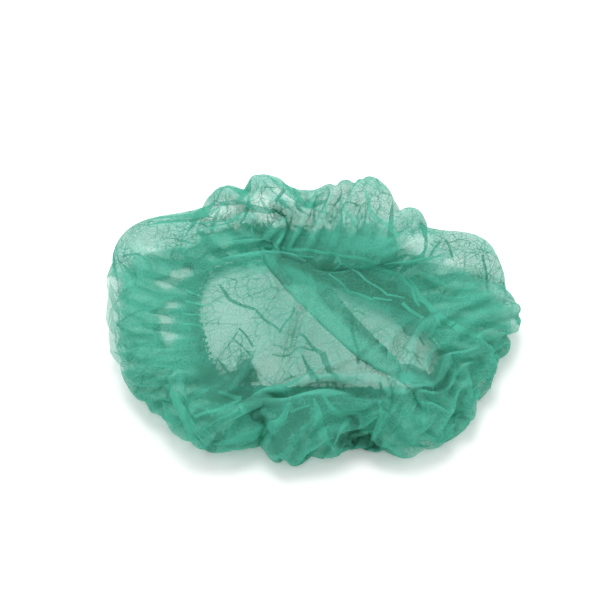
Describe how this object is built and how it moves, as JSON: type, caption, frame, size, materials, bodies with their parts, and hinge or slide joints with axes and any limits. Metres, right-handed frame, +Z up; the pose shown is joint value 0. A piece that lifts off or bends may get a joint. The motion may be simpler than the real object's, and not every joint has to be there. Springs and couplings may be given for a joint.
{
  "type": "disposable hair cover cap",
  "caption": "Thin green nonwoven hair cap lying crown up: one ruffled round sheet gathered by an elastic round its opening.",
  "frame": {"origin": "on the table under the middle of the cap's bounding box, with the opening facing down", "axes": "+X along the cap's longest extent to the right, +Y from its front to its back, +Z up through the crown"},
  "size_m": [0.303, 0.2331, 0.068],
  "materials": {
    "nonwoven": "thin translucent spunbond nonwoven, matt",
    "elastic": "matt covered elastic"
  },
  "bodies": {
    "root": {"cover": "nonwoven", "gathered_hem": "nonwoven", "elastic_band": "elastic"}
  },
  "joints": []
}
